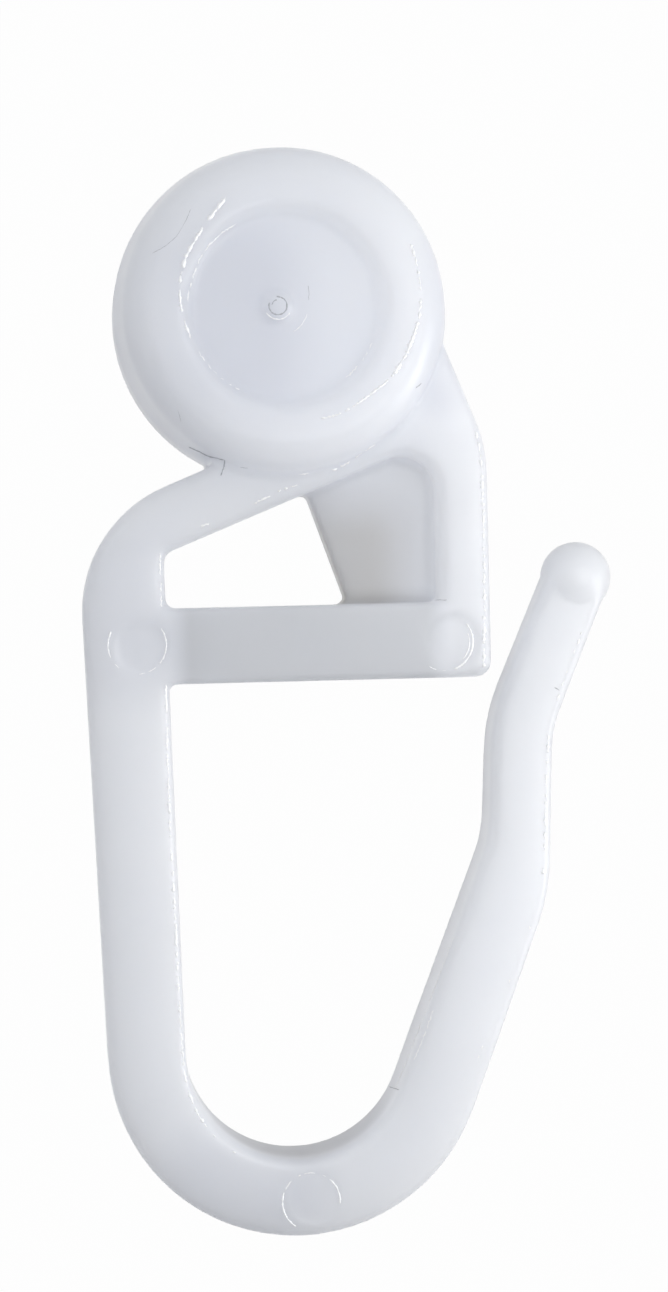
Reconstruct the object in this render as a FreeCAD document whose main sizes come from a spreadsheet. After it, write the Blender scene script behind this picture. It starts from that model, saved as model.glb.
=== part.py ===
"""Curtain glider: a round gliding head with a closed neck frame and a sprung U hook, one moulding.

Millimetres, +Z up, +X along the track, +Y from the front face to the back.
The origin is the centre of the round head, which runs inside the track.
"""
import FreeCAD
import Part

import math
import os

import Sketcher

NODE = "glider_body"
START, END, CENTRE = range(1, 4)
LEVEL_AXIS, UPRIGHT_AXIS = range(-1, -3, -1)
ORIGIN = (LEVEL_AXIS, START)
TOUCH = 1e-6
LEVEL = FreeCAD.Vector(1, 0, 0)
UPRIGHT = FreeCAD.Vector(0, 1, 0)

# Driving sizes: millimetres, and degrees where the name says lean or slope
SIZES = {
    # round head
    "head_diameter": 8.0,
    "head_width": 4.2,
    "face_diameter": 7.4,
    "rim_radius": 0.9,
    "dish_diameter": 4.4,
    "dish_run": 0.2,
    "dish_depth": 0.4,
    # moulded strip that the frame and the hook are made of
    "frame_depth": 2.2,
    "edge_radius": 0.24,
    "strip_width": 1.84,
    # stem and U bend
    "hang_drop": 17.5,
    "bend_offset": 0.05,
    "bend_radius": 2.65,
    "stem_outer_lean": 1.95,
    "stem_inner_lean": 1.2,
    "shoulder_radius": 3.22,
    # neck frame round the window
    "window_slope": 22.0,
    "window_drop": 4.51,
    "window_corner": 0.24,
    "window_round": 0.83,
    "left_arm_width": 1.47,
    "right_reach": 4.81,
    "right_width": 1.26,
    "right_lean": 22.1,
    "right_drop": 3.27,
    "right_round": 3.27,
    "foot_radius": 0.38,
    # crossbar and web
    "bar_drop": 6.98,
    "bar_height": 1.8,
    "web_depth": 0.9,
    "web_reach": 1.44,
    "web_lean": 19.25,
    # sprung arm and ball tip
    "arm_lean": 21.2,
    "arm_length": 5.87,
    "spring_lean": 2.7,
    "spring_length": 3.41,
    "tip_lean": 23.0,
    "tip_length": 3.76,
    "arm_width": 1.51,
    "knee_radius": 2.89,
    "tip_depth": 1.2,
    "ball_diameter": 1.72,
    # moulding marks on the front
    "pin_diameter": 1.3,
    "pin_depth": 0.05,
    "left_pin_reach": 3.52,
    "right_pin_inset": 0.91,
    "low_pin_reach": 0.28,
    "low_pin_inset": 0.94,
    "gate_diameter": 0.58,
    "gate_height": 0.12,
}

# Sizes that follow from the driving ones
DERIVED = {
    "outer_bend": "bend_radius + strip_width",
    "middle_bend": "bend_radius + strip_width / 2",
    "bar_foot": "bar_drop + bar_height",
    "bar_middle": "bar_drop + bar_height / 2",
    "knee_x": "middle_bend * cos(arm_lean * 1deg) + arm_length * sin(arm_lean * 1deg) - bend_offset",
    "knee_z": "arm_length * cos(arm_lean * 1deg) - middle_bend * sin(arm_lean * 1deg) - hang_drop",
    "elbow_x": "knee_x + spring_length * sin(spring_lean * 1deg)",
    "elbow_z": "knee_z + spring_length * cos(spring_lean * 1deg)",
    "ball_x": "elbow_x + tip_length * sin(tip_lean * 1deg)",
    "ball_z": "elbow_z + tip_length * cos(tip_lean * 1deg)",
    "thinning_top": "ball_z + ball_diameter",
}


def make_sheet(doc):
    """Write the driving sizes and what follows from them to a spreadsheet, one alias each."""
    sheet = doc.addObject("Spreadsheet::Sheet", "Sizes")
    cells = {alias: str(value) for alias, value in SIZES.items()}
    cells.update({alias: f"={formula}" for alias, formula in DERIVED.items()})
    for row, (alias, content) in enumerate(cells.items(), start=1):
        sheet.set(f"A{row}", alias)
        sheet.set(f"B{row}", content)
        sheet.setAlias(f"B{row}", alias)
    doc.recompute()
    return sheet


# Plane geometry


def heading(lean):
    """Unit direction that climbs in Z and leans towards +X by an angle in degrees."""
    turn = math.radians(lean)
    return FreeCAD.Vector(math.sin(turn), math.cos(turn), 0)


def right_of(direction):
    """Unit direction on the right-hand side of a heading."""
    return FreeCAD.Vector(direction.y, -direction.x, 0)


def meet(point_a, direction_a, point_b, direction_b):
    """Crossing point of two lines."""
    gap = point_b - point_a
    cross = direction_a.x * direction_b.y - direction_a.y * direction_b.x
    return point_a + direction_a * ((gap.x * direction_b.y - gap.y * direction_b.x) / cross)


# Sketch and feature helpers


class Outline:
    """A closed run of straight sides and arcs, drawn in a sketch on one of a body's own planes."""

    def __init__(self, body, role, name):
        self.sketch = body.newObject("Sketcher::SketchObject", name)
        plane = next(item for item in body.Origin.OriginFeatures if item.Role == role)
        self.sketch.AttachmentSupport = (plane, "")
        self.sketch.MapMode = "FlatFace"

    def relate(self, kind, *where):
        """Add a relation, or a dimension if a value ends the list."""
        return self.sketch.addConstraint(Sketcher.Constraint(kind, *where))

    def bind(self, kind, where, value, expression):
        """Add a dimension and tie it to the spreadsheet."""
        index = self.relate(kind, *where, value)
        self.sketch.setExpression(f"Constraints[{index}]", expression)

    def line(self, start, end):
        """Draw a straight side."""
        return self.sketch.addGeometry(Part.LineSegment(start, end), False)

    def arc(self, centre, start, end, expression):
        """Draw an anticlockwise arc whose radius comes from the spreadsheet."""
        radius = (start - centre).Length
        first = math.atan2(start.y - centre.y, start.x - centre.x)
        last = math.atan2(end.y - centre.y, end.x - centre.x)
        circle = Part.Circle(centre, FreeCAD.Vector(0, 0, 1), radius)
        arc = self.sketch.addGeometry(Part.ArcOfCircle(circle, first, last), False)
        self.bind("Radius", (arc,), radius, expression)
        return arc

    def across(self, geometry, position, value, expression):
        """Hold a point's first coordinate."""
        self.bind("DistanceX", (*ORIGIN, geometry, position), value, expression)

    def upward(self, geometry, position, value, expression):
        """Hold a point's second coordinate."""
        self.bind("DistanceY", (*ORIGIN, geometry, position), value, expression)

    def place(self, geometry, position, point, across, upward):
        """Hold a point of the outline at a place that the spreadsheet gives."""
        self.across(geometry, position, point.x, across)
        self.upward(geometry, position, point.y, upward)

    def station(self, point, across, upward):
        """Add a construction point that sides can be measured from."""
        spot = self.sketch.addGeometry(Part.Point(point), True)
        self.place(spot, START, point, across, upward)
        return spot

    def slant(self, side, lean):
        """Hold a side's lean from the upright, whichever way along it was drawn."""
        ends = self.sketch.Geometry[side]
        run = ends.EndPoint - ends.StartPoint
        turn = 90 if run.y > 0 else -90
        self.bind("Angle", (side,), math.atan2(run.y, run.x), f"({turn} - ({lean})) * 1deg")

    def beside(self, side, spot, expression):
        """Hold a side's distance from a construction point."""
        ends = self.sketch.Geometry[side]
        run = (ends.EndPoint - ends.StartPoint).normalize()
        point = self.sketch.Geometry[spot]
        gap = FreeCAD.Vector(point.X, point.Y, 0) - ends.StartPoint
        self.bind("Distance", (spot, START, side), abs(run.cross(gap).z), expression)

    def through(self, side, spot):
        """Let a side pass through a construction point."""
        self.relate("PointOnObject", spot, START, side)

    def trace(self, corners):
        """Draw a closed outline through corners, each (point, radius expression, radius).

        A corner without a radius stays sharp. Neighbouring sides and arcs are joined end to end,
        and an arc runs into its sides without a kink. Returns the sides and the arcs, each by the
        number of the corner that it follows or rounds.
        """
        count = len(corners)
        runs = []
        for index, (point, expression, radius) in enumerate(corners):
            before = (corners[index - 1][0] - point).normalize()
            after = (corners[(index + 1) % count][0] - point).normalize()
            if expression is None:
                runs.append((point, point, None))
                continue
            half = before.getAngle(after) / 2
            reach = radius / math.tan(half)
            centre = point + (before + after).normalize() * (radius / math.sin(half))
            runs.append((point + before * reach, point + after * reach, (centre, expression)))
        pieces = []
        sides = {}
        arcs = {}
        for index, (entry, leave, arc) in enumerate(runs):
            if arc is not None:
                turn = (entry - arc[0]).cross(leave - arc[0]).z
                first, last = (entry, leave) if turn > 0 else (leave, entry)
                ends = (START, END) if turn > 0 else (END, START)
                arcs[index] = self.arc(arc[0], first, last, arc[1])
                pieces.append((arcs[index], *ends, leave))
            following = runs[(index + 1) % count][0]
            if (following - leave).Length > TOUCH:
                sides[index] = self.line(leave, following)
                pieces.append((sides[index], START, END, following))
        sharp = [point for point, expression, _ in corners if expression is None]
        for index, (shape, _, tail, joint) in enumerate(pieces):
            other, head = pieces[(index + 1) % len(pieces)][:2]
            kinked = any((joint - point).Length < TOUCH for point in sharp)
            self.relate("Coincident" if kinked else "Tangent", shape, tail, other, head)
        return sides, arcs


def pad(body, outline, name, depth):
    """Pad an outline equally to the front and the back."""
    feature = body.newObject("PartDesign::Pad", name)
    feature.Profile = outline.sketch
    feature.SideType = "Symmetric"
    feature.setExpression("Length", depth)
    body.Document.recompute()
    return feature


def face_normal(face, point):
    """Normal of a face next to a point on it."""
    return face.normalAt(*face.Surface.parameter(point))


def middle_of(edge):
    """Point halfway along an edge."""
    return edge.valueAt((edge.FirstParameter + edge.LastParameter) / 2)


def rim_edges(shape, stays_sharp):
    """Names of the edges between the broad faces and the side walls, apart from the sharp ones."""
    names = []
    for index, edge in enumerate(shape.Edges, start=1):
        middle = middle_of(edge)
        faces = shape.ancestorsOfType(edge, Part.Face)
        facing = sorted(abs(face_normal(face, middle).y) for face in faces)
        if facing[0] < 0.5 < facing[-1] and not stays_sharp(middle):
            names.append(f"Edge{index}")
    return names


def round_edges(body, base, name, stays_sharp):
    """Round the long edges of a padded strip."""
    feature = body.newObject("PartDesign::Fillet", name)
    feature.Base = (base, rim_edges(base.Shape, stays_sharp))
    feature.setExpression("Radius", "Sizes.edge_radius")
    body.Document.recompute()


# The moulding


class Glider:
    """The moulding, built region by region from the sizes in the spreadsheet and then fused."""

    def __init__(self, doc, sheet):
        self.doc = doc
        self.size = {alias: float(sheet.get(alias)) for alias in (*SIZES, *DERIVED)}
        self.bend = self.spot("-bend_offset", "-hang_drop")
        self.knee = self.spot("knee_x", "knee_z")
        self.elbow = self.spot("elbow_x", "elbow_z")
        self.ball = self.spot("ball_x", "ball_z")
        self.slope = heading(90 - self.size["window_slope"])
        self.window_top = FreeCAD.Vector(0, -self.size["window_drop"], 0)

    def spot(self, across, upward):
        """Point in the front view from two named sizes, each with its sign."""
        values = []
        for name in (across, upward):
            sign = -1 if name.startswith("-") else 1
            values.append(sign * self.size[name.lstrip("-")])
        return FreeCAD.Vector(*values, 0)

    def body(self, name):
        """Start a body."""
        return self.doc.addObject("PartDesign::Body", name)

    def is_bend_end(self, point):
        """Whether an edge lies where the two halves of the bend meet."""
        return abs(point.x - self.bend.x) < TOUCH

    def is_arm_end(self, point):
        """Whether an edge lies on the arm's end, inside the ball."""
        along = FreeCAD.Vector(point.x, point.z, 0) - self.ball
        return abs(along.dot(heading(self.size["tip_lean"]))) < TOUCH

    def is_inside_head(self, point):
        """Whether an edge lies well inside the round head."""
        return math.hypot(point.x, point.z) < self.size["head_diameter"] * 3 / 8

    def arm_side(self, side):
        """Corners of one side of the sprung arm, from the bottom of the bend to the tip."""
        size = self.size
        arm, spring, tip = (heading(size[name]) for name in ("arm_lean", "spring_lean", "tip_lean"))
        radius = size["outer_bend"] if side > 0 else size["bend_radius"]
        offset = side * size["arm_width"] / 2
        floor = self.bend - UPRIGHT * radius
        low = self.bend + right_of(arm) * radius
        middle = self.knee + right_of(spring) * offset
        high = self.ball + right_of(tip) * offset
        return floor, meet(floor, LEVEL, low, arm), meet(low, arm, middle, spring), meet(
            middle, spring, high, tip), high

    def spring_arm(self):
        """Right half of the U bend and the sprung arm, thinning towards its tip."""
        size = self.size
        body = self.body("SpringArm")
        outer_floor, outer_bend, outer_knee, outer_elbow, outer_tip = self.arm_side(1)
        inner_floor, inner_bend, inner_knee, inner_elbow, inner_tip = self.arm_side(-1)
        tight = ("Sizes.knee_radius", size["knee_radius"])
        wide = ("Sizes.knee_radius + Sizes.arm_width", size["knee_radius"] + size["arm_width"])
        outline = Outline(body, "XZ_Plane", "ArmOutline")
        sides, arcs = outline.trace([
            (outer_floor, None, 0),
            (outer_bend, "Sizes.outer_bend", size["outer_bend"]),
            (outer_knee, *wide),
            (outer_elbow, *tight),
            (outer_tip, None, 0),
            (inner_tip, None, 0),
            (inner_elbow, *wide),
            (inner_knee, *tight),
            (inner_bend, "Sizes.bend_radius", size["bend_radius"]),
            (inner_floor, None, 0),
        ])
        for arc in (arcs[1], arcs[8]):
            outline.place(arc, CENTRE, self.bend, "-Sizes.bend_offset", "-Sizes.hang_drop")
        outline.across(sides[9], START, self.bend.x, "-Sizes.bend_offset")
        outline.relate("Vertical", sides[9])
        knee = outline.station(self.knee, "Sizes.knee_x", "Sizes.knee_z")
        ball = outline.station(self.ball, "Sizes.ball_x", "Sizes.ball_z")
        leans = {"Sizes.arm_lean": (1, 7), "Sizes.spring_lean": (2, 6), "Sizes.tip_lean": (3, 5)}
        for lean, pair in leans.items():
            for index in pair:
                outline.slant(sides[index], lean)
        for spot, index in ((knee, 2), (knee, 6), (ball, 3), (ball, 5)):
            outline.beside(sides[index], spot, "Sizes.arm_width / 2")
        outline.slant(sides[4], "Sizes.tip_lean - 90")
        outline.through(sides[4], ball)
        pad(body, outline, "ArmPad", "Sizes.frame_depth")
        thinned = self.thin_arm(body)
        round_edges(body, thinned, "ArmEdges", lambda at: self.is_bend_end(at) or self.is_arm_end(at))
        return body

    def thin_arm(self, body):
        """Thin the arm in depth with a sloping cut on each face, from the bend to the tip."""
        size = self.size
        outline = Outline(body, "YZ_Plane", "ArmThinningOutline")
        for side, sign in ((-1, "-"), (1, "")):
            flush = FreeCAD.Vector(side * size["frame_depth"] / 2, self.bend.y, 0)
            thin = FreeCAD.Vector(side * size["tip_depth"] / 2, self.ball.y, 0)
            outside = FreeCAD.Vector(side * size["frame_depth"], size["thinning_top"], 0)
            top = meet(flush, thin - flush, outside, LEVEL)
            corner = FreeCAD.Vector(outside.x, flush.y, 0)
            sides, _ = outline.trace([(point, None, 0) for point in (flush, top, outside, corner)])
            tip = outline.station(thin, f"{sign}Sizes.tip_depth / 2", "Sizes.ball_z")
            outline.place(sides[0], START, flush, f"{sign}Sizes.frame_depth / 2", "-Sizes.hang_drop")
            outline.through(sides[0], tip)
            outline.place(sides[2], START, outside, f"{sign}Sizes.frame_depth", "Sizes.thinning_top")
            for index in (1, 3):
                outline.relate("Horizontal", sides[index])
            outline.relate("Vertical", sides[2])
        pocket = body.newObject("PartDesign::Pocket", "ArmThinning")
        pocket.Profile = outline.sketch
        pocket.Type = "ThroughAll"
        pocket.SideType = "Symmetric"
        whole = body.Shape.Volume
        self.doc.recompute()
        if not 0 < whole - pocket.Shape.Volume < whole / 2:
            raise RuntimeError("the arm wasn't thinned")
        return pocket

    def neck_frame(self):
        """Left half of the bend, the stem, and the two arms that carry the head."""
        size = self.size
        body = self.body("NeckFrame")
        stem_outside, stem_inside = heading(-size["stem_outer_lean"]), heading(-size["stem_inner_lean"])
        outer_floor = self.bend - UPRIGHT * size["outer_bend"]
        inner_floor = self.bend - UPRIGHT * size["bend_radius"]
        outer_stem = self.bend - right_of(stem_outside) * size["outer_bend"]
        inner_stem = self.bend - right_of(stem_inside) * size["bend_radius"]
        arm_top = self.window_top - right_of(self.slope) * size["left_arm_width"]
        right_corner = self.spot("right_reach", "-right_drop")
        foot = self.spot("right_reach", "-bar_foot")
        inner_foot = foot - LEVEL * size["right_width"]
        origin = FreeCAD.Vector(0, 0, 0)
        outline = Outline(body, "XZ_Plane", "FrameOutline")
        sides, arcs = outline.trace([
            (outer_floor, None, 0),
            (meet(outer_floor, LEVEL, outer_stem, stem_outside), "Sizes.outer_bend", size["outer_bend"]),
            (meet(outer_stem, stem_outside, arm_top, self.slope),
             "Sizes.shoulder_radius", size["shoulder_radius"]),
            (meet(arm_top, self.slope, origin, UPRIGHT), None, 0),
            (meet(right_corner, heading(-size["right_lean"]), origin, LEVEL), None, 0),
            (right_corner, "Sizes.right_round", size["right_round"]),
            (foot, "Sizes.foot_radius", size["foot_radius"]),
            (inner_foot, None, 0),
            (meet(self.window_top, self.slope, inner_foot, UPRIGHT),
             "Sizes.window_round", size["window_round"]),
            (meet(self.window_top, self.slope, inner_stem, stem_inside),
             "Sizes.window_corner", size["window_corner"]),
            (meet(inner_floor, LEVEL, inner_stem, stem_inside), "Sizes.bend_radius", size["bend_radius"]),
            (inner_floor, None, 0),
        ])
        for arc in (arcs[1], arcs[10]):
            outline.place(arc, CENTRE, self.bend, "-Sizes.bend_offset", "-Sizes.hang_drop")
        outline.across(sides[11], START, self.bend.x, "-Sizes.bend_offset")
        for index in (5, 7, 11):
            outline.relate("Vertical", sides[index])
        outline.relate("Horizontal", sides[6])
        outline.slant(sides[1], "-Sizes.stem_outer_lean")
        outline.slant(sides[9], "-Sizes.stem_inner_lean")
        outline.slant(sides[4], "-Sizes.right_lean")
        window_top = outline.station(self.window_top, "0", "-Sizes.window_drop")
        corner = outline.station(right_corner, "Sizes.right_reach", "-Sizes.right_drop")
        for index in (2, 8):
            outline.slant(sides[index], "90 - Sizes.window_slope")
        outline.beside(sides[2], window_top, "Sizes.left_arm_width")
        outline.through(sides[8], window_top)
        outline.through(sides[4], corner)
        outline.relate("PointOnObject", sides[2], END, UPRIGHT_AXIS)
        outline.relate("PointOnObject", sides[4], START, LEVEL_AXIS)
        outline.across(sides[5], START, foot.x, "Sizes.right_reach")
        outline.place(sides[7], START, inner_foot, "Sizes.right_reach - Sizes.right_width",
                      "-Sizes.bar_foot")
        strip = pad(body, outline, "FramePad", "Sizes.frame_depth")
        round_edges(body, strip, "FrameEdges", lambda at: self.is_bend_end(at) or self.is_inside_head(at))
        return body

    def crossbar(self):
        """Flat bar from the stem to the right arm, flush with the front and level with the web behind."""
        bar = self.doc.addObject("Part::Box", "Crossbar")
        left = "(Sizes.bend_offset + Sizes.middle_bend)"
        bar.setExpression("Length", f"Sizes.right_reach - Sizes.right_width / 2 + {left}")
        bar.setExpression("Width", "(Sizes.frame_depth + Sizes.web_depth) / 2")
        bar.setExpression("Height", "Sizes.bar_height")
        bar.setExpression("Placement.Base.x", f"-{left}")
        bar.setExpression("Placement.Base.y", "-Sizes.frame_depth / 2")
        bar.setExpression("Placement.Base.z", "-Sizes.bar_foot")
        return bar

    def web(self):
        """Thin web that fills the right part of the window, with a slanting free edge."""
        size = self.size
        body = self.body("Web")
        lean = heading(-size["web_lean"])
        foot = self.spot("web_reach", "-bar_drop")
        inside_top = self.window_top - right_of(self.slope) * (size["left_arm_width"] / 2)
        inside_corner = FreeCAD.Vector(size["right_reach"] - size["right_width"] / 2, -size["bar_middle"], 0)
        outline = Outline(body, "XZ_Plane", "WebOutline")
        sides, _ = outline.trace([
            (meet(foot, lean, inside_top, self.slope), None, 0),
            (meet(foot, lean, inside_corner, LEVEL), None, 0),
            (inside_corner, None, 0),
            (meet(inside_corner, UPRIGHT, inside_top, self.slope), None, 0),
        ])
        edge = outline.station(foot, "Sizes.web_reach", "-Sizes.bar_drop")
        window_top = outline.station(self.window_top, "0", "-Sizes.window_drop")
        outline.slant(sides[0], "-Sizes.web_lean")
        outline.through(sides[0], edge)
        outline.relate("Horizontal", sides[1])
        outline.relate("Vertical", sides[2])
        outline.place(sides[2], START, inside_corner, "Sizes.right_reach - Sizes.right_width / 2",
                      "-Sizes.bar_middle")
        outline.slant(sides[3], "90 - Sizes.window_slope")
        outline.beside(sides[3], window_top, "Sizes.left_arm_width / 2")
        pad(body, outline, "WebPad", "Sizes.web_depth")
        return body

    def head(self):
        """Round head with a shallow dish in both faces, drafted from its middle to the narrower front."""
        size = self.size
        body = self.body("Head")
        names = ("head_diameter", "face_diameter", "dish_diameter", "head_width")
        radius, front, dish, face = (size[name] / 2 for name in names)
        floor = face - size["dish_depth"]
        edge = dish + size["dish_run"]
        corners = [FreeCAD.Vector(*place, 0) for place in (
            (0, -floor),
            (dish, -floor),
            (edge, -face),
            (front, -face),
            (radius, 0),
            (radius, face),
            (edge, face),
            (dish, floor),
            (0, floor),
        )]
        rim = ("Sizes.rim_radius", size["rim_radius"])
        rounding = {3: rim, 5: rim}
        outline = Outline(body, "XY_Plane", "HeadProfile")
        sides, _ = outline.trace([
            (corner, *rounding.get(index, (None, 0))) for index, corner in enumerate(corners)
        ])
        for index in (4, 8):
            outline.relate("Vertical", sides[index])
        for index in (0, 2, 5, 7):
            outline.relate("Horizontal", sides[index])
        half = "Sizes.head_width / 2"
        depth = f"{half} - Sizes.dish_depth"
        across = "Sizes.dish_diameter / 2"
        outline.place(sides[0], START, corners[0], "0", f"-({depth})")
        outline.across(sides[1], START, dish, across)
        outline.place(sides[2], START, corners[2], f"{across} + Sizes.dish_run", f"-{half}")
        outline.through(sides[3], outline.station(corners[3], "Sizes.face_diameter / 2", f"-{half}"))
        outline.place(sides[4], START, corners[4], "Sizes.head_diameter / 2", "0")
        outline.place(sides[6], START, corners[6], f"{across} + Sizes.dish_run", half)
        outline.place(sides[7], START, corners[7], across, depth)
        turned = body.newObject("PartDesign::Revolution", "HeadTurned")
        turned.Profile = outline.sketch
        turned.ReferenceAxis = (outline.sketch, ["V_Axis"])
        turned.Angle = 360
        self.doc.recompute()
        return body

    def ball_tip(self):
        """Ball on the end of the sprung arm."""
        ball = self.doc.addObject("Part::Sphere", "BallTip")
        ball.setExpression("Radius", "Sizes.ball_diameter / 2")
        ball.setExpression("Placement.Base.x", "Sizes.ball_x")
        ball.setExpression("Placement.Base.z", "Sizes.ball_z")
        return ball

    def round_post(self, name, diameter, height, place):
        """Short cylinder that stands towards the front, at a place in X, Y and Z."""
        post = self.doc.addObject("Part::Cylinder", name)
        post.setExpression("Radius", f"Sizes.{diameter} / 2")
        post.setExpression("Height", height)
        post.Placement.Rotation = FreeCAD.Rotation(LEVEL, 90)
        for axis, expression in zip("xyz", place):
            post.setExpression(f"Placement.Base.{axis}", expression)
        return post

    def gate_mark(self):
        """Stub that the moulding gate left in the middle of the front dish."""
        floor = "Sizes.dish_depth - Sizes.head_width / 2"
        return self.round_post("GateMark", "gate_diameter", "Sizes.gate_height", ("0", floor, "0"))

    def pin_marks(self):
        """Shallow round marks of the ejector pins on the front."""
        places = {
            "StemPin": ("-Sizes.left_pin_reach", "-Sizes.bar_middle"),
            "ArmPin": ("Sizes.right_reach - Sizes.right_pin_inset", "-Sizes.bar_middle"),
            "BendPin": ("Sizes.low_pin_reach", "Sizes.low_pin_inset - Sizes.hang_drop - Sizes.outer_bend"),
        }
        sunk = "Sizes.pin_depth - Sizes.frame_depth / 2"
        return [
            self.round_post(name, "pin_diameter", "Sizes.pin_depth * 2", (across, sunk, upward))
            for name, (across, upward) in places.items()
        ]

    def moulding(self):
        """Fuse the regions and sink the pin marks."""
        regions = self.doc.addObject("Part::MultiFuse", "Regions")
        regions.Shapes = [
            self.spring_arm(),
            self.neck_frame(),
            self.crossbar(),
            self.web(),
            self.head(),
            self.ball_tip(),
            self.gate_mark(),
        ]
        regions.Refine = True
        pins = self.doc.addObject("Part::MultiFuse", "PinMarks")
        pins.Shapes = self.pin_marks()
        moulding = self.doc.addObject("Part::Cut", "Moulding")
        moulding.Base = regions
        moulding.Tool = pins
        moulding.Label = NODE
        self.doc.recompute()
        return moulding


def check(doc, part):
    """Stop if any object failed or the moulding isn't one valid solid."""
    for item in doc.Objects:
        if {"Invalid", "Error"} & set(item.State):
            raise RuntimeError(f"{item.Name} failed: {item.State}")
    shape = part.Shape
    if shape.isNull() or not shape.isValid() or len(shape.Solids) != 1:
        raise RuntimeError(f"{part.Label} isn't one valid solid")


def main():
    """Build the document and write the moulding."""
    doc = FreeCAD.newDocument("CurtainGlider")
    part = Glider(doc, make_sheet(doc)).moulding()
    check(doc, part)
    os.makedirs("parts", exist_ok=True)
    part.Shape.exportStep(f"parts/{part.Label}.step")
    print(part.Label, "volume", round(part.Shape.Volume, 2))


main()
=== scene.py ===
"""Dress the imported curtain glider: a soft natural-white moulding under plain studio light.

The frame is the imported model's: +X along the track, +Y to the back, +Z up. Lengths are metres, or
millimetres where a note says so. Pixels are those of the photograph.
"""

import logging
import math
import random
from dataclasses import dataclass, field

import bmesh
import bpy
from mathutils import Matrix, Vector
from mathutils.bvhtree import BVHTree

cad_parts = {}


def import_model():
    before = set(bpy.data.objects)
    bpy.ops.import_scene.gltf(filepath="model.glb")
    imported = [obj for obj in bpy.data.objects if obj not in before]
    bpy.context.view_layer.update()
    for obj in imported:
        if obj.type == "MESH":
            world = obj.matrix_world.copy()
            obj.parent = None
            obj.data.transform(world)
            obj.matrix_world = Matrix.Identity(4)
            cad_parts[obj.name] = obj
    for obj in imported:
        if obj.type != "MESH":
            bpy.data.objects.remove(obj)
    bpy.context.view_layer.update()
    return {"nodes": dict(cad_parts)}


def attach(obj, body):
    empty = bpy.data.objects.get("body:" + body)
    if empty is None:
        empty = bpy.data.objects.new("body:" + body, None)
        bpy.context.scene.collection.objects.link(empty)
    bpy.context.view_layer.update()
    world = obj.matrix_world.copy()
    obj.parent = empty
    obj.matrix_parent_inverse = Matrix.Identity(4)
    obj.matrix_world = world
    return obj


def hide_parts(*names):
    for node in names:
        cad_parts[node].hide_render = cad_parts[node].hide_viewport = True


LOG = logging.getLogger("curtain_glider")
MM = 0.001
NODE = "glider_body"
PHOTO_WIDTH = 668
PHOTO_HEIGHT = 1292
SENSOR_WIDTH = 36.0
ARC_STEP = 6.0  # degrees between two places of an arc

# Patterns in the polymer: their scales are per metre.
CLOUD_SCALE = 420.0
PATCH_SCALE = 1300.0
GRAIN_SCALE = 5200.0
GRAIN_STRENGTH = 0.05
GRAIN_HEIGHT = 0.02 * MM
SCATTER_SPREAD = (1.0, 0.97, 0.95)  # share of the depth that red, green and blue reach

Pixel = tuple[float, float]
Triple = tuple[float, float, float]


@dataclass(frozen=True)
class PaintedShadeZone:
    """A soft-edged block of the moulding where shade is painted into the polymer's colour.

    Attributes:
        low: Lowest corner, in millimetres.
        high: Highest corner, in millimetres.
        soft: How far the change takes to fade out along each axis, in millimetres.
        shade: What the colour is multiplied by inside the block.
        full: How far the full shade reaches round the block, as a share of the fade.
    """

    low: Triple
    high: Triple
    soft: Triple
    shade: Triple
    full: float = 0.0


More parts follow.
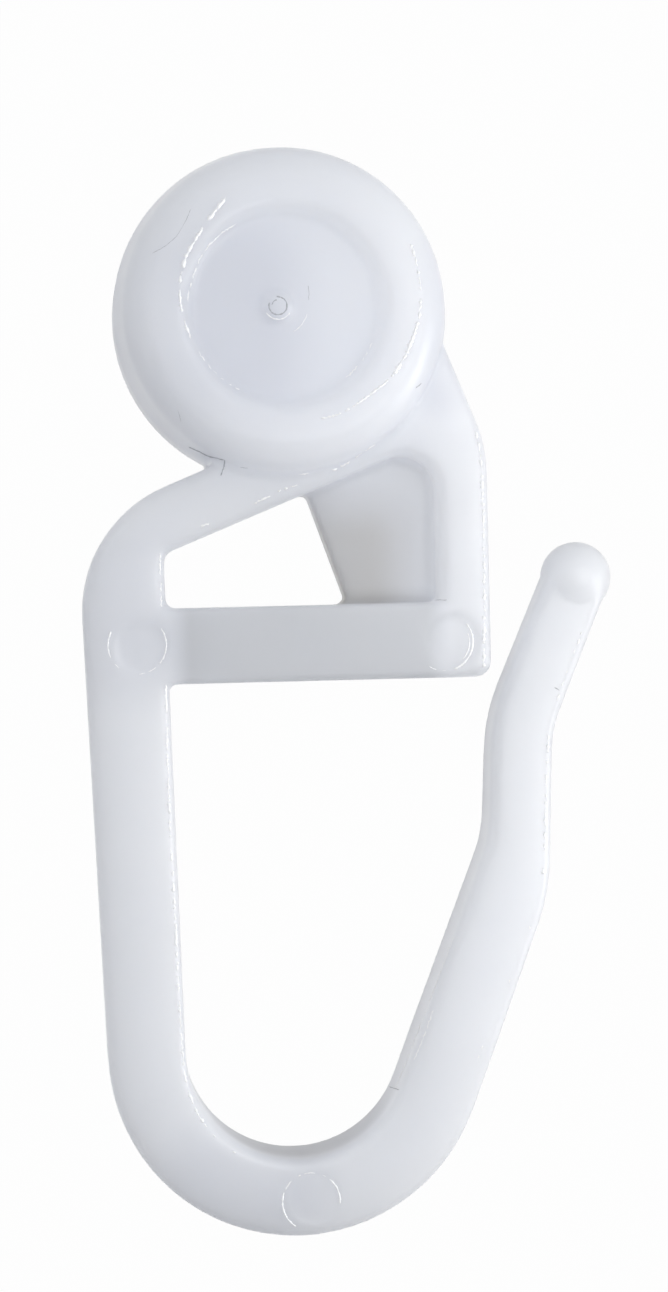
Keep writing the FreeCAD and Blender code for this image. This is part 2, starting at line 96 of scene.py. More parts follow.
@dataclass(frozen=True)
class Polymer:
    """Moulded polymer that lets a little light through.

    Attributes:
        name: Name of the material.
        colour: Base colour, linear.
        warm: Colour that the slow cloudiness drifts to, linear.
        scatter: Share of the light that travels inside.
        depth: How far that light travels, in metres.
        roughness: Lowest and highest roughness of the skin.
        painted_shade_zones: Blocks where shade is painted into the colour.
        ior: How strongly the skin mirrors light.
    """

    name: str = "natural_white_polymer"
    colour: Triple = (0.795, 0.815, 0.875)
    warm: Triple = (0.835, 0.85, 0.89)
    scatter: float = 1.0
    depth: float = 5.0 * MM
    roughness: tuple[float, float] = (0.26, 0.40)
    painted_shade_zones: tuple[PaintedShadeZone, ...] = ()
    ior: float = 1.5

    def material(self) -> bpy.types.Material:
        """Make the node material.

        Returns:
            The material, with cloudy colour, uneven gloss and a fine moulded grain.
        """
        made = bpy.data.materials.new(self.name)
        made.use_nodes = True
        nodes, links = made.node_tree.nodes, made.node_tree.links
        shader = nodes["Principled BSDF"]
        shader.inputs["Subsurface Weight"].default_value = self.scatter
        shader.inputs["Subsurface Radius"].default_value = SCATTER_SPREAD
        shader.inputs["Subsurface Scale"].default_value = self.depth
        shader.inputs["IOR"].default_value = self.ior
        place = nodes.new("ShaderNodeTexCoord").outputs["Object"]
        cloud = self.noise(nodes, links, place, scale=CLOUD_SCALE, detail=2.0)
        tint = nodes.new("ShaderNodeMix")
        tint.data_type = "RGBA"
        tint.inputs["A"].default_value = (*self.colour, 1.0)
        tint.inputs["B"].default_value = (*self.warm, 1.0)
        links.new(cloud, tint.inputs["Factor"])
        colour = tint.outputs["Result"]
        # Painted shade: darken the colour inside each block.
        for zone in self.painted_shade_zones:
            colour = self.paint_shade(nodes, links, place, colour, zone)
        links.new(colour, shader.inputs["Base Color"])
        patches = self.noise(nodes, links, place, scale=PATCH_SCALE, detail=3.0)
        gloss = nodes.new("ShaderNodeMapRange")
        gloss.inputs["To Min"].default_value = self.roughness[0]
        gloss.inputs["To Max"].default_value = self.roughness[1]
        links.new(patches, gloss.inputs["Value"])
        links.new(gloss.outputs["Result"], shader.inputs["Roughness"])
        grain = self.noise(nodes, links, place, scale=GRAIN_SCALE, detail=2.0)
        bump = nodes.new("ShaderNodeBump")
        bump.inputs["Strength"].default_value = GRAIN_STRENGTH
        bump.inputs["Distance"].default_value = GRAIN_HEIGHT
        links.new(grain, bump.inputs["Height"])
        links.new(bump.outputs["Normal"], shader.inputs["Normal"])
        return made

    @staticmethod
    def noise(
        nodes: bpy.types.Nodes,
        links: bpy.types.NodeLinks,
        place: bpy.types.NodeSocket,
        scale: float,
        detail: float,
    ) -> bpy.types.NodeSocket:
        """Add a noise pattern.

        Args:
            nodes: Nodes of the material.
            links: Links of the material.
            place: Coordinates that the pattern reads.
            scale: Fineness of the pattern, per metre.
            detail: Number of finer layers.

        Returns:
            The pattern's value.
        """
        pattern = nodes.new("ShaderNodeTexNoise")
        pattern.inputs["Scale"].default_value = scale
        pattern.inputs["Detail"].default_value = detail
        links.new(place, pattern.inputs["Vector"])
        return pattern.outputs["Fac"]

    @staticmethod
    def paint_shade(
        nodes: bpy.types.Nodes,
        links: bpy.types.NodeLinks,
        place: bpy.types.NodeSocket,
        colour: bpy.types.NodeSocket,
        zone: PaintedShadeZone,
    ) -> bpy.types.NodeSocket:
        """Paint shade into the colour inside a zone.

        Args:
            nodes: Nodes of the material.
            links: Links of the material.
            place: Coordinates of the surface.
            colour: Colour outside the zone.
            zone: The block and its shade.

        Returns:
            The colour with the zone in it.
        """
        low, high = Vector(zone.low) * MM, Vector(zone.high) * MM
        steps = (
            ("SUBTRACT", (low + high) / 2),
            ("ABSOLUTE", None),
            ("SUBTRACT", (high - low) / 2),
            ("MAXIMUM", Vector((0.0, 0.0, 0.0))),
            ("DIVIDE", Vector(zone.soft) * MM),
            ("LENGTH", None),
        )
        reach = place
        for operation, value in steps:
            step = nodes.new("ShaderNodeVectorMath")
            step.operation = operation
            links.new(reach, step.inputs[0])
            if value is not None:
                step.inputs[1].default_value = value
            reach = step.outputs["Value" if operation == "LENGTH" else "Vector"]
        fade = nodes.new("ShaderNodeMapRange")
        fade.interpolation_type = "SMOOTHSTEP"
        fade.inputs["From Min"].default_value = zone.full
        fade.inputs["From Max"].default_value = zone.full + 1.0
        fade.inputs["To Min"].default_value = 1.0
        fade.inputs["To Max"].default_value = 0.0
        links.new(reach, fade.inputs["Value"])
        painted_shade_mix = nodes.new("ShaderNodeMix")
        painted_shade_mix.data_type = "RGBA"
        painted_shade_mix.blend_type = "MULTIPLY"
        painted_shade_mix.inputs["B"].default_value = (*zone.shade, 1.0)
        links.new(fade.outputs["Result"], painted_shade_mix.inputs["Factor"])
        links.new(colour, painted_shade_mix.inputs["A"])
        return painted_shade_mix.outputs["Result"]


# Painted shade: blocks where the colour is darkened to stand in for shade, in the thin crossbar,
# the recessed web, the bend's inner wall and the dimmer parts of the dish, rim, bend and shoulder.
CROSSBAR = PaintedShadeZone((-2.3, -1.2, -8.8), (3.2, 1.2, -7.2), (0.7, 0.7, 0.7), (0.70, 0.70, 0.685))
WEB = PaintedShadeZone((0.8, -0.3, -6.9), (1.9, 0.6, -5.5), (1.9, 0.5, 1.9), (0.50, 0.475, 0.425))
BEND_WALL = PaintedShadeZone(
    (0.0, 0.2, -18.2), (0.0, 1.3, -18.2), (0.6, 0.6, 0.6), (0.58, 0.575, 0.565), full=3.28
)
DISH_LEFT = PaintedShadeZone(
    (-1.7, -2.2, -1.2), (-0.9, -1.0, 0.7), (1.8, 1.8, 1.8), (0.90, 0.90, 0.905), full=0.2
)
RIM_RIGHT = PaintedShadeZone((3.6, -2.2, -2.0), (3.9, 0.5, 1.2), (0.7, 0.7, 0.9), (0.88, 0.88, 0.89))
BEND_BOTTOM = PaintedShadeZone(
    (-2.2, -1.3, -20.9), (-0.6, 1.3, -20.5), (1.4, 1.4, 1.4), (0.87, 0.87, 0.875), full=0.3
)
SHOULDER = PaintedShadeZone(
    (-4.4, -1.3, -8.0), (-3.4, 1.3, -6.2), (1.6, 1.6, 1.6), (0.90, 0.90, 0.905), full=0.2
)
BODY_POLYMER = Polymer(
    painted_shade_zones=(CROSSBAR, WEB, BEND_WALL, DISH_LEFT, RIM_RIGHT, BEND_BOTTOM, SHOULDER)
)
# Near-white, glossy threads: mould flash along edges, and painted highlight where those edges and
# rings face the lamps.
FLASH_AND_HIGHLIGHT = Polymer(
    name="bright_flash_and_painted_highlight",
    colour=(0.96, 0.965, 0.975),
    warm=(0.98, 0.98, 0.985),
    scatter=0.0,
    depth=0.2 * MM,
    roughness=(0.25, 0.35),
    ior=2.3,
)
# Grey lines: real scratches, and painted shade in the creases where the head meets the arms and in
# the groove round the gate's stub.
HAIRLINE_AND_SHADE = Polymer(
    name="grey_hairline_and_painted_shade",
    colour=(0.40, 0.41, 0.44),
    warm=(0.52, 0.53, 0.57),
    scatter=0.0,
    depth=0.1 * MM,
    roughness=(0.5, 0.7),
)


@dataclass(frozen=True)
class Lamp:
    """A soft square lamp.

    Attributes:
        name: Name of the lamp.
        place: Place from the middle of the part, in millimetres.
        size: Length of its side, in millimetres.
        watts: Power, in watts.
    """

    name: str
    place: Triple
    size: float
    watts: float


@dataclass
class Studio:
    """White sweep, soft lights and the camera.

    Attributes:
        scale: Pixels of the picture to a millimetre at the frame's front face.
        head: Pixel of the head's centre.
        roll: How far the part leans to the left in the picture, in degrees.
        eye: Pixel that the camera stands square to.
        distance: Distance from the camera to the frame's front face, in metres.
        front: Depth of the frame's front face, in metres.
        middle: Place that the lamps point at, in millimetres.
        lamps: The soft lamps.
        even: Strength of the light all round.
        lean: How that strength grows along each axis.
        tint: Colour of the light all round.
        floor: Height of the white floor, in metres.
        spread: Half of the floor's width and depth, in metres.
        forward: How far the floor's middle lies in front of the part, in metres.
        rise: Height of the wall behind the part, in metres.
        bend: Radius between the floor and the wall, in metres.
        sheet: Colour of the white paper, linear.
        glow: Share of the paper that is plain white where it is seen.
    """

    scale: float = 42.2
    head: Pixel = (283.2, 311.3)
    roll: float = 1.3
    eye: Pixel = (60.0, 600.0)
    distance: float = 71.0 * MM
    front: float = -1.1 * MM
    middle: Triple = (1.0, 0.0, -9.0)
    lamps: tuple[Lamp, ...] = (
        Lamp("key", (14.0, -33.0, 3.0), 20.0, 0.0034),
        Lamp("rim", (60.0, -22.0, -13.0), 34.0, 0.017),
    )
    even: float = 0.68
    lean: Triple = (-0.01, -0.19, -0.10)
    tint: Triple = (0.94, 0.96, 1.0)
    floor: float = -0.06
    spread: float = 0.5
    forward: float = 0.05
    rise: float = 0.7
    bend: float = 0.15
    sheet: Triple = (0.55, 0.55, 0.56)
    glow: float = 0.98

    def spot(self, pixel: Pixel) -> Vector:
        """Find the place on the frame's front face that a pixel of the picture shows.

        Args:
            pixel: Column and row.

        Returns:
            The place, in metres.
        """
        across = (pixel[0] - self.head[0]) / self.scale * MM
        upward = (self.head[1] - pixel[1]) / self.scale * MM
        turn = math.radians(self.roll)
        return Vector((
            across * math.cos(turn) + upward * math.sin(turn),
            self.front,
            upward * math.cos(turn) - across * math.sin(turn),
        ))

    def stand(self) -> Vector:
        """Give the camera's place."""
        return self.spot(self.eye) - Vector((0.0, self.distance, 0.0))

    def camera(self) -> None:
        """Stand the camera where the picture was taken from."""
        target = self.spot((PHOTO_WIDTH / 2, PHOTO_HEIGHT / 2))
        eye = self.stand()
        lens = bpy.data.cameras.new("camera")
        lens.sensor_width = SENSOR_WIDTH
        height = PHOTO_HEIGHT / self.scale * MM
        lens.lens = lens.sensor_width * (target - eye).length / height
        lens.clip_start, lens.clip_end = 1.0 * MM, 2.0
        holder = bpy.data.objects.new("camera", lens)
        aim = (target - eye).to_track_quat("-Z", "Y").to_matrix().to_4x4()
        level = Matrix.Rotation(math.radians(-self.roll), 4, "Z")
        holder.matrix_world = Matrix.Translation(eye) @ aim @ level
        bpy.context.scene.collection.objects.link(holder)
        bpy.context.scene.camera = holder

    def hang(self) -> None:
        """Hang the soft lamps."""
        middle = Vector(self.middle) * MM
        for lamp in self.lamps:
            light = bpy.data.lights.new(lamp.name, "AREA")
            light.size = lamp.size * MM
            light.energy = lamp.watts
            holder = bpy.data.objects.new(lamp.name, light)
            spot = Vector(lamp.place) * MM + middle
            aim = (middle - spot).to_track_quat("-Z", "Y")
            holder.matrix_world = Matrix.Translation(spot) @ aim.to_matrix().to_4x4()
            holder.visible_camera = False
            bpy.context.scene.collection.objects.link(holder)

    def surround(self) -> None:
        """Set the light all round, which looks white wherever it is seen."""
        world = bpy.data.worlds.new("even_light")
        world.use_nodes = True
        nodes, links = world.node_tree.nodes, world.node_tree.links
        around = nodes["Background"]
        around.inputs["Color"].default_value = (*self.tint, 1.0)
        lean = nodes.new("ShaderNodeVectorMath")
        lean.operation = "DOT_PRODUCT"
        lean.inputs[1].default_value = self.lean
        links.new(nodes.new("ShaderNodeTexCoord").outputs["Generated"], lean.inputs[0])
        level = nodes.new("ShaderNodeMath")
        level.inputs[1].default_value = self.even
        links.new(lean.outputs["Value"], level.inputs[0])
        links.new(level.outputs["Value"], around.inputs["Strength"])
        white = nodes.new("ShaderNodeBackground")
        white.inputs["Color"].default_value = (1.0, 1.0, 1.0, 1.0)
        mix = nodes.new("ShaderNodeMixShader")
        links.new(self.seen(nodes, links), mix.inputs["Fac"])
        links.new(around.outputs["Background"], mix.inputs[1])
        links.new(white.outputs["Background"], mix.inputs[2])
        links.new(mix.outputs["Shader"], nodes["World Output"].inputs["Surface"])
        bpy.context.scene.world = world

    def sweep(self) -> None:
        """Lay the white floor that sweeps up behind the part."""
        shape = bmesh.new()
        bmesh.ops.create_grid(shape, x_segments=1, y_segments=1, size=self.spread)
        bmesh.ops.translate(shape, verts=shape.verts, vec=(0.0, -self.forward, self.floor))
        back = [edge for edge in shape.edges if all(vert.co.y > 0.0 for vert in edge.verts)]
        wall = bmesh.ops.extrude_edge_only(shape, edges=back)
        risen = [item for item in wall["geom"] if isinstance(item, bmesh.types.BMVert)]
        bmesh.ops.translate(shape, verts=risen, vec=(0.0, 0.0, self.rise))
        bmesh.ops.bevel(
            shape,
            geom=back,
            offset=self.bend,
            affect="EDGES",
            segments=12,
            profile=0.5,
            material=-1,
        )
        mesh = bpy.data.meshes.new("sweep")
        shape.to_mesh(mesh)
        shape.free()
        mesh.shade_smooth()
        mesh.materials.append(self.paper())
        floor = bpy.data.objects.new("sweep", mesh)
        bpy.context.scene.collection.objects.link(floor)

    @staticmethod
    def seen(nodes: bpy.types.Nodes, links: bpy.types.NodeLinks) -> bpy.types.NodeSocket:
        """Pick out the rays that show the backdrop: to the eye, in a gloss or through a clear skin.

        Args:
            nodes: Nodes of the paper or the world.
            links: Links of the paper or the world.

        Returns:
            One for such a ray and nought for any other.
        """
        path = nodes.new("ShaderNodeLightPath")
        found = path.outputs["Is Camera Ray"]
        for ray in ("Is Glossy Ray", "Is Transmission Ray"):
            either = nodes.new("ShaderNodeMath")
            either.operation = "MAXIMUM"
            links.new(found, either.inputs[0])
            links.new(path.outputs[ray], either.inputs[1])
            found = either.outputs["Value"]
        return found

    def paper(self) -> bpy.types.Material:
        """Make the sweep's white paper, bright to the eye and in reflections.

        Returns:
            The material.
        """
        made = bpy.data.materials.new("white_paper")
        made.use_nodes = True
        nodes, links = made.node_tree.nodes, made.node_tree.links
        shader = nodes["Principled BSDF"]
        shader.inputs["Base Color"].default_value = (*self.sheet, 1.0)
        shader.inputs["Roughness"].default_value = 0.9
        glow = nodes.new("ShaderNodeEmission")
        glow.inputs["Strength"].default_value = 1.0
        share = nodes.new("ShaderNodeMath")
        share.operation = "MULTIPLY"
        share.inputs[1].default_value = self.glow
        links.new(self.seen(nodes, links), share.inputs[0])
        mix = nodes.new("ShaderNodeMixShader")
        links.new(share.outputs["Value"], mix.inputs["Fac"])
        links.new(shader.outputs["BSDF"], mix.inputs[1])
        links.new(glow.outputs["Emission"], mix.inputs[2])
        links.new(mix.outputs["Shader"], nodes["Material Output"].inputs["Surface"])
        return made


@dataclass
class Moulding:
    """The one-piece moulding, softened all over as it comes out of the mould.

    Attributes:
        polymer: Finish of the moulding.
        cell: Size of the even mesh that the solid is turned into, in metres.
        merge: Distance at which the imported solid's doubled corners join, in metres.
        passes: Number of softening passes.
        blend: Strength of one pass.
        gate_shift: How far the gate's stub sits off the head's centre, in metres.
        gate_reach: Distance from the head's centre that takes in the stub, in metres.
        gate_depth: Depth in front of which the stub begins, in metres.
        ring_depth: Depth in front of which the ring round the dish lies, in metres.
        ring_rest: How far the ring lies behind its fine flash, in metres.
        dish_reach: Radius of the dish's floor, in metres.
        dish_swell: How far the floor swells to the front, in metres.
    """

    polymer: Polymer
    cell: float = 0.09 * MM
    merge: float = 0.0005 * MM
    passes: int = 4
    blend: float = 0.5
    gate_shift: Triple = (-0.19 * MM, 0.0, 0.03 * MM)
    gate_reach: float = 0.36 * MM
    gate_depth: float = -1.6 * MM
    ring_depth: float = -2.09 * MM
    ring_rest: float = 0.04 * MM
    dish_reach: float = 2.25 * MM
    dish_swell: float = 0.08 * MM

    def build(self, node: bpy.types.Object) -> bpy.types.Object:
        """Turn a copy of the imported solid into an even, soft-edged mesh.

        Args:
            node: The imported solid.

        Returns:
            The finished piece.
        """
        mesh = node.data.copy()
        self.adjust(mesh)
        piece = bpy.data.objects.new("moulding", mesh)
        bpy.context.scene.collection.objects.link(piece)
        even = piece.modifiers.new("even", "REMESH")
        even.mode = "VOXEL"
        even.voxel_size = self.cell / MM
        soft = piece.modifiers.new("soft", "SMOOTH")
        soft.factor = self.blend
        soft.iterations = self.passes
        graph = bpy.context.evaluated_depsgraph_get()
        piece.modifiers.update()
        finished = bpy.data.meshes.new_from_object(piece.evaluated_get(graph))
        piece.modifiers.clear()
        finished.transform(Matrix.Scale(MM, 4))
        finished.name = "moulding"
        piece.data = finished
        bpy.data.meshes.remove(mesh)
        finished.shade_smooth()
        return piece

    def adjust(self, mesh: bpy.types.Mesh) -> None:
        """Place the gate's stub, the ring and the dish's floor, and turn metres to millimetres.

        Args:
            mesh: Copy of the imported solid's mesh, which is changed.
        """
        solid = bmesh.new()
        solid.from_mesh(mesh)
        bmesh.ops.remove_doubles(solid, verts=solid.verts, dist=self.merge)
        stub = self.within(solid, self.gate_reach)
        bmesh.ops.translate(solid, verts=stub, vec=self.gate_shift)
        ring = [vert for vert in solid.verts if vert.co.y < self.ring_depth]
        bmesh.ops.translate(solid, verts=ring, vec=(0.0, self.ring_rest, 0.0))
        floor = self.within(solid, self.dish_reach)
        bmesh.ops.translate(solid, verts=floor, vec=(0.0, -self.dish_swell, 0.0))
        bmesh.ops.transform(solid, matrix=Matrix.Scale(1 / MM, 4), verts=solid.verts)
        solid.to_mesh(mesh)
        solid.free()

    def within(self, solid: bmesh.types.BMesh, reach: float) -> list[bmesh.types.BMVert]:
        """Find the front corners near the head's middle.

        Args:
            solid: The moulding.
            reach: Distance from the head's axis, in metres.

        Returns:
            The corners in front of the gate's depth and inside that distance.
        """
        return [
            vert
            for vert in solid.verts
            if vert.co.y < self.gate_depth and math.hypot(vert.co.x, vert.co.z) < reach
        ]

    def dress(self, piece: bpy.types.Object) -> None:
        """Give the moulding its finish and put it in the solid's place.

        Args:
            piece: The finished piece.
        """
        piece.data.materials.clear()
        piece.data.materials.append(self.polymer.material())
        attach(piece, "root")
        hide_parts(NODE)


@dataclass
class Skin:
    """The moulding's surface as the camera sees it, for laying fine marks on it.

    Attributes:
        piece: The moulding.
        studio: Where the camera stands.
    """

    piece: bpy.types.Object
    studio: Studio
    tree: BVHTree = field(init=False)

    def __post_init__(self) -> None:
        shape = bmesh.new()
        shape.from_mesh(self.piece.data)
        self.tree = BVHTree.FromBMesh(shape)
        shape.free()

    def touch(self, pixel: Pixel, sunk: float) -> Vector | None:
        """Find the place just under the skin that a pixel of the picture shows.

        Args:
            pixel: Column and row.
            sunk: Depth under the skin, in metres.

        Returns:
            The place, in metres, or nothing where the pixel misses the moulding.
        """
        eye = self.studio.stand()
        aim = (self.studio.spot(pixel) - eye).normalized()
        place, normal, _, _ = self.tree.ray_cast(eye, aim)
        return None if place is None else place - normal * sunk


@dataclass(frozen=True)
class Stroke:
    """One fine line on the moulding, as the camera sees it.

    Attributes:
        path: Pixels that the line passes through.
        width: Width of the line, in millimetres.
        ragged: Share of the width that comes and goes along the line.
        gaps: Share of the line that is missing.
    """

    path: tuple[Pixel, ...]
    width: float
    ragged: float = 0.5
    gaps: float = 0.0

    @classmethod
    def arc(
        cls, centre: Pixel, radius: float, start: float, end: float, width: float, gaps: float = 0.0
    ) -> "Stroke":
        """Make a stroke that runs round a circle.

        Args:
            centre: Pixel of the circle's centre.
            radius: Radius, in pixels.
            start: First angle in degrees, clockwise from the right.
            end: Last angle in degrees.
            width: Width of the line, in millimetres.
            gaps: Share of the line that is missing.

        Returns:
            The stroke.
        """
        count = max(int(abs(end - start) / ARC_STEP), 2)
        turns = [math.radians(start + (end - start) * step / count) for step in range(count + 1)]
        path = tuple(
            (centre[0] + radius * math.cos(turn), centre[1] + radius * math.sin(turn))
            for turn in turns
        )
        return cls(path, width, gaps=gaps)

    def places(self, step: float) -> list[Pixel]:
        """Divide the line evenly.

        Args:
            step: Distance between two places, in pixels.

        Returns:
            The places along the line.
        """
        found = []
        for first, last in zip(self.path, self.path[1:]):
            count = max(round(math.dist(first, last) / step), 1)
            for index in range(count):
                share = index / count
                found.append((
                    first[0] + (last[0] - first[0]) * share,
                    first[1] + (last[1] - first[1]) * share,
                ))
        return [*found, self.path[-1]]


@dataclass
class FineLines:
    """Fine lines of one finish that lie on the moulding's skin.

    Attributes:
        name: Name of the piece.
        polymer: Finish of the lines.
        strokes: The lines.
        seed: Start of the random raggedness.
        step: Distance between two places along a line, in pixels.
        stray: How far a line strays to its sides, in pixels.
        tread: Least number of places in a run.
        sunk: Share of a line's half width that lies under the skin.
        limit: Depth that no line stands in front of, in metres.
        taper: Share of the width that is left at a run's two ends.
        merge: Distance at which doubled corners join, in metres.
    """

    name: str
    polymer: Polymer
    strokes: tuple[Stroke, ...]
    seed: int
    step: float = 1.7
    stray: float = 0.6
    tread: int = 3
    sunk: float = 0.25
    limit: float = -2.1 * MM
    taper: float = 0.45
    merge: float = 0.0001 * MM

    def build(self, skin: Skin) -> bpy.types.Object:
        """Lay the lines on the moulding as thin ragged threads.

        Args:
            skin: The moulding's surface.

        Returns:
            The finished piece.
        """
        chance = random.Random(self.seed)
        threads = bpy.data.curves.new(self.name, "CURVE")
        threads.dimensions = "3D"
        threads.bevel_depth = MM
        threads.bevel_resolution = 1
        threads.use_fill_caps = True
        for stroke in self.strokes:
            run: list[tuple[Vector, float]] = []
            for pixel in stroke.places(self.step):
                nudged = tuple(value + chance.uniform(-self.stray, self.stray) for value in pixel)
                half = stroke.width / 2 * (1 + stroke.ragged * chance.uniform(-1, 1))
                missing = chance.random() < stroke.gaps
                place = skin.touch(nudged, half * MM * self.sunk)
                if place is not None and not missing:
                    place.y = max(place.y, self.limit + half * MM)
                    run.append((place, half))
                    continue
                self.thread(threads, run)
                run = []
            self.thread(threads, run)
        holder = bpy.data.objects.new(self.name, threads)
        bpy.context.scene.collection.objects.link(holder)
        graph = bpy.context.evaluated_depsgraph_get()
        mesh = bpy.data.meshes.new_from_object(holder.evaluated_get(graph))
        bpy.data.objects.remove(holder)
        bpy.data.curves.remove(threads)
        return self.finished(mesh)

    def thread(self, threads: bpy.types.Curve, run: list[tuple[Vector, float]]) -> None:
        """Add one unbroken run to the threads, tapered at its ends.

        Args:
            threads: The curve that gathers the runs.
            run: Places, in metres, and half widths, in millimetres.
        """
        if len(run) < self.tread:
            return
        spline = threads.splines.new("POLY")
        spline.points.add(len(run) - 1)
        for index, (point, (place, half)) in enumerate(zip(spline.points, run)):
            point.co = (*place, 1.0)
            point.radius = half * (self.taper if index in (0, len(run) - 1) else 1.0)

    def finished(self, mesh: bpy.types.Mesh) -> bpy.types.Object:
        """Close the threads' ends and turn their faces outwards.

        Args:
            mesh: The threads.

        Returns:
            The piece.
        """
        shape = bmesh.new()
        shape.from_mesh(mesh)
        bmesh.ops.remove_doubles(shape, verts=shape.verts, dist=self.merge)
        bmesh.ops.recalc_face_normals(shape, faces=shape.faces)
        shape.to_mesh(mesh)
        shape.free()
        mesh.name = self.name
        mesh.shade_smooth()
        piece = bpy.data.objects.new(self.name, mesh)
        bpy.context.scene.collection.objects.link(piece)
        return piece

    def dress(self, piece: bpy.types.Object) -> None:
        """Give the lines their finish and fix them to the part.

        Args:
            piece: The finished piece.
        """
        piece.data.materials.clear()
        piece.data.materials.append(self.polymer.material())
        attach(piece, "root")


# Fine lines, as pixels of the photograph: path, width, raggedness and share of gaps.
# Flash along the head's, frame's and arm's edges, drawn near-white as painted highlight too.
HEAD_FLASH_AND_HIGHLIGHT = (
    Stroke(
        ((226, 200), (215, 213), (204, 228), (193, 246), (186, 259), (181, 277)),
        0.07, 0.85, 0.05,
    ),
    Stroke(((181, 277), (180, 291), (181, 307), (185, 324), (191, 340)), 0.063, 0.75, 0.1),
    Stroke(
        ((239, 224), (223, 234), (209, 247), (199, 263), (194, 276), (189, 292), (188, 308)),
        0.037, 0.75, 0.08,
    ),
    Stroke(((191, 340), (200, 356), (212, 371), (229, 385), (248, 395)), 0.026, 0.65, 0.3),
    Stroke(((334, 386), (350, 375), (362, 361), (371, 346), (375, 338)), 0.03, 0.65, 0.25),
    Stroke(((410, 240), (415, 256), (419, 272), (421, 288), (421, 304)), 0.056, 0.95, 0.15),
    Stroke(((421, 304), (419, 320), (414, 336), (405, 357), (394, 374)), 0.081, 0.95, 0.06),
    Stroke(
        ((394, 374), (383, 385), (369, 396), (348, 410), (335, 416), (321, 419)),
        0.048, 0.75, 0.1,
    ),
)
FRAME_FLASH_AND_HIGHLIGHT = (
    Stroke(((160, 553), (161, 580), (161.5, 606)), 0.052, 0.75, 0.08),
    Stroke(
        ((166, 684), (167.5, 760), (170, 830), (174, 900), (178, 980), (182, 1050)),
        0.056, 0.85, 0.12,
    ),
    Stroke(((182, 1050), (184, 1072), (188, 1090), (194, 1106), (203, 1122)), 0.059, 0.85, 0.1),
    Stroke(((203, 1122), (215, 1137), (229, 1149), (243, 1157)), 0.037, 0.75, 0.3),
    Stroke(
        ((476, 428), (482, 455), (484, 500), (485, 547), (485.5, 600), (485, 668)),
        0.063, 0.95, 0.12,
    ),
    Stroke(((200, 527), (209, 524)), 0.037, 0.75, 0.1),
    Stroke(((254, 504), (262, 500), (270, 496)), 0.044, 0.85, 0.1),
    Stroke(((277, 492), (284, 489), (297, 485)), 0.044, 0.85, 0.1),
    Stroke(
        ((298, 475), (318, 473), (337, 469), (351, 461), (362, 453), (376, 444)),
        0.037, 0.75, 0.2,
    ),
)
ARM_FLASH_AND_HIGHLIGHT = (
    Stroke(((590, 618), (582, 640), (573, 664), (563, 690), (556, 712)), 0.044, 0.95, 0.3),
    Stroke(((551, 735), (549, 770), (548, 810), (547, 850), (545, 880)), 0.056, 0.95, 0.15),
    Stroke(((540, 905), (530, 935), (519, 965), (505, 1000)), 0.041, 0.95, 0.4),
    Stroke(((493, 1030), (480, 1060), (470, 1088), (460, 1110), (457, 1128)), 0.041, 0.95, 0.45),
    Stroke(
        ((396, 1090), (404, 1072), (412, 1050), (425, 1018), (440, 978), (455, 938)),
        0.033, 0.65, 0.1,
    ),
    Stroke(((412, 1068), (424, 1040), (436, 1008)), 0.026, 0.65, 0.2),
)
# Ejector-pin and gate rings, drawn near-white as painted highlight on their edges.
PIN_RING_HIGHLIGHTS = (
    Stroke.arc((137.4, 644.8), 29.0, 155.0, 208.0, 0.034),
    Stroke.arc((137.4, 644.8), 29.0, -35.0, 40.0, 0.042),
    Stroke.arc((137.4, 644.8), 29.0, 50.0, 140.0, 0.016, 0.4),
    Stroke.arc((445.0, 642.0), 29.0, -40.0, 70.0, 0.042),
    Stroke.arc((445.0, 642.0), 25.5, -20.0, 45.0, 0.026),
    Stroke.arc((445.0, 642.0), 29.0, 80.0, 150.0, 0.016, 0.4),
    Stroke.arc((311.0, 1203.0), 29.0, 122.0, 200.0, 0.046),
    Stroke.arc((311.0, 1203.0), 29.0, 205.0, 300.0, 0.026, 0.25),
    Stroke.arc((311.0, 1203.0), 29.0, 310.0, 365.0, 0.05),
    Stroke.arc((278.0, 306.8), 13.5, 30.0, 150.0, 0.035),
    Stroke.arc((278.0, 306.8), 30.0, 15.0, 60.0, 0.02),
)
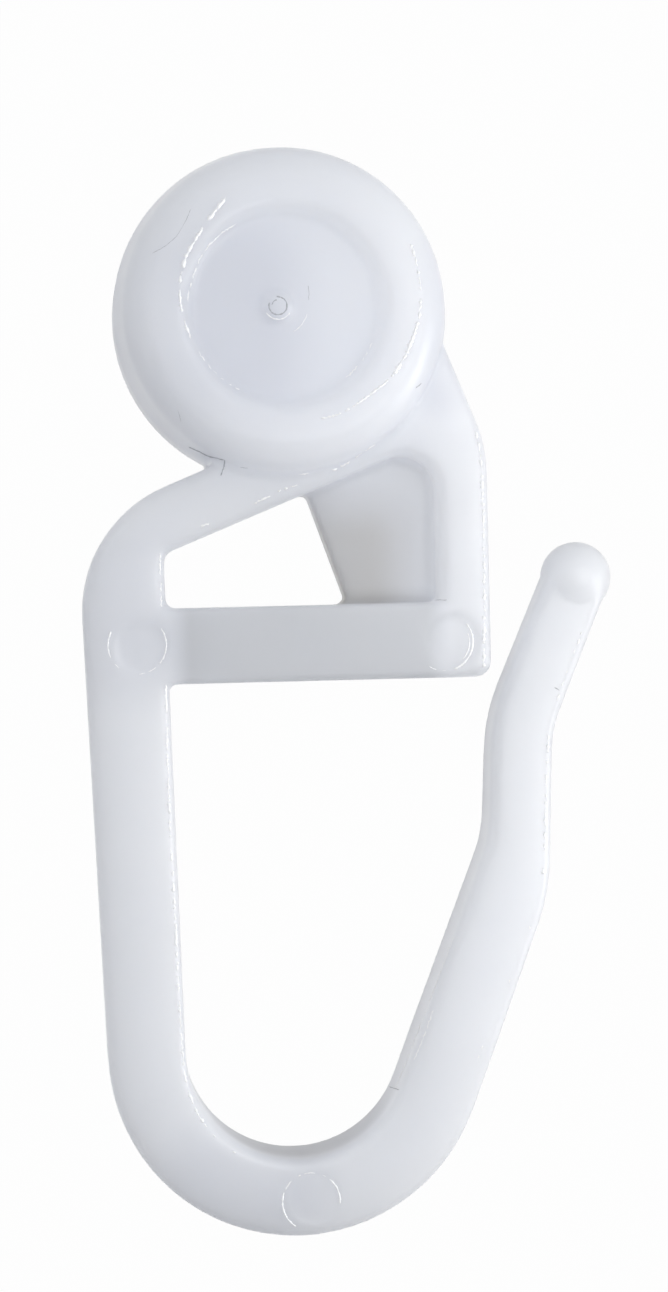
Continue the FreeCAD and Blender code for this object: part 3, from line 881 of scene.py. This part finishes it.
# Scratches, and dark lines painted as shade in the notch between head and arm, at small creases and
# round the gate's stub.
SCUFFS_AND_CREASE_SHADE = (
    Stroke(
        ((153, 256), (160, 252), (168, 247), (176, 240), (182, 231), (187, 222), (191, 212)),
        0.011, 0.5,
    ),
    Stroke(((189, 448), (199, 452), (209, 457), (218, 459), (225, 461)), 0.042, 0.4),
    Stroke(((225, 461), (224, 467), (221, 476)), 0.034, 0.4),
    Stroke(((240, 468), (248, 468.6)), 0.018, 0.3),
    Stroke(((422, 383), (416, 388)), 0.03, 0.4),
    Stroke(((178, 411), (180, 417), (181, 423)), 0.012, 0.3),
    Stroke(((308, 286), (309, 293), (308.6, 301)), 0.014, 0.3),
    Stroke(((557, 688), (562, 691)), 0.03, 0.3),
    Stroke(((388, 1088), (394, 1090), (400, 1092)), 0.022, 0.3),
    Stroke(((435, 600), (448, 600)), 0.018, 0.3),
    Stroke.arc((278.0, 306.8), 9.0, -100.0, 200.0, 0.034),
    Stroke.arc((278.0, 306.8), 6.0, 190.0, 260.0, 0.034),
)


def main() -> None:
    """Build the dressed part, the studio and the camera."""
    logging.basicConfig(level=logging.INFO, format="%(message)s")
    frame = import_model()
    studio = Studio()
    moulding = Moulding(BODY_POLYMER)
    piece = moulding.build(frame["nodes"][NODE])
    moulding.dress(piece)
    LOG.info("%s: %d faces", piece.name, len(piece.data.polygons))
    skin = Skin(piece, studio)
    for lines in (
        FineLines("head_flash_and_highlight", FLASH_AND_HIGHLIGHT, HEAD_FLASH_AND_HIGHLIGHT, seed=3),
        FineLines("frame_flash_and_highlight", FLASH_AND_HIGHLIGHT, FRAME_FLASH_AND_HIGHLIGHT, seed=5),
        FineLines("arm_flash_and_highlight", FLASH_AND_HIGHLIGHT, ARM_FLASH_AND_HIGHLIGHT, seed=7),
        FineLines("pin_ring_highlights", FLASH_AND_HIGHLIGHT, PIN_RING_HIGHLIGHTS, seed=11, stray=0.15),
        FineLines("scuffs_and_crease_shade", HAIRLINE_AND_SHADE, SCUFFS_AND_CREASE_SHADE, seed=13, stray=0.2, tread=2),
    ):
        laid = lines.build(skin)
        lines.dress(laid)
        LOG.info("%s: %d faces", laid.name, len(laid.data.polygons))
    studio.sweep()
    studio.hang()
    studio.surround()
    studio.camera()
    bpy.context.scene.view_settings.view_transform = "Standard"


if __name__ == "__main__":
    main()
